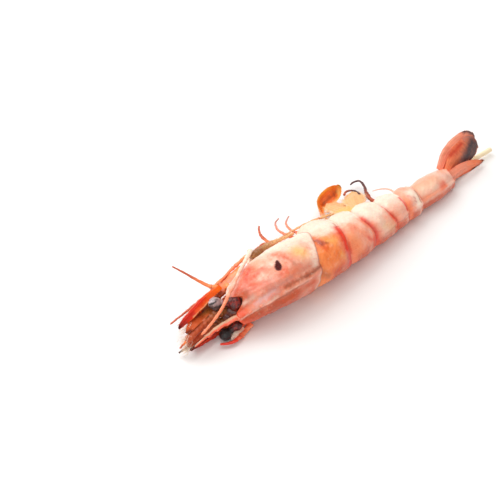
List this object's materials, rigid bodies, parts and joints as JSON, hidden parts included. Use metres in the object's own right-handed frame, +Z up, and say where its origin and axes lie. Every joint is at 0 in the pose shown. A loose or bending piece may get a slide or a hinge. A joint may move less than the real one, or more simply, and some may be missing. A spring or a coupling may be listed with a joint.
{
  "type": "cooked tiger prawn",
  "caption": "Grilled whole prawn in its shell with head, legs and tail fan, lying on one flank and held straight by a thin bamboo skewer.",
  "frame": {"origin": "middle of the rectangle that the prawn covers, on the surface it lies on", "axes": "+X along the body from head to tail, +Y to the belly side with the legs, +Z up"},
  "size_m": [0.2184, 0.0538, 0.028],
  "materials": {
    "shell_head": "satin, cooked shell",
    "shell_tail": "satin, cooked shell",
    "eye": "glossy",
    "scale": "satin",
    "head_limb": "satin",
    "leg": "satin",
    "swimmer": "satin",
    "fan": "satin",
    "bamboo": "bare, fine grained"
  },
  "bodies": {
    "root": {"carapace": "shell_head", "abdomen_1": "shell_tail", "abdomen_2": "shell_tail", "abdomen_3": "shell_tail", "abdomen_4": "shell_tail", "abdomen_5": "shell_tail", "abdomen_6": "shell_tail", "eye_right": "eye", "eye_left": "eye", "antennal_scale_right": "scale", "antennal_scale_left": "scale", "antennule_right": "head_limb", "antennule_left": "head_limb", "antennule_whip_right": "head_limb", "antennule_whip_left": "head_limb", "antenna_right": "head_limb", "antenna_base_right": "head_limb", "antenna_base_left": "head_limb", "maxilliped_right": "head_limb", "maxilliped_left": "head_limb", "maxilliped_outer_left": "head_limb", "leg_1_right": "leg", "leg_2_right": "leg", "leg_3_right": "leg", "leg_4_right": "leg", "leg_5_right": "leg", "leg_1_left": "leg", "leg_2_left": "leg", "leg_3_left": "leg", "leg_4_left": "leg", "leg_5_left": "leg", "pleopod_1_right": "swimmer", "pleopod_1_branch_right": "swimmer", "pleopod_2_right": "swimmer", "pleopod_3_right": "swimmer", "pleopod_3_branch_right": "swimmer", "pleopod_4_right": "swimmer", "pleopod_5_right": "swimmer", "pleopod_1_left": "swimmer", "pleopod_2_left": "swimmer", "pleopod_3_left": "swimmer", "pleopod_4_left": "swimmer", "pleopod_5_left": "swimmer", "uropod_outer_right": "fan", "uropod_inner_right": "fan", "uropod_outer_left": "fan", "uropod_inner_left": "fan", "telson": "fan", "skewer": "bamboo"}
  },
  "joints": []
}
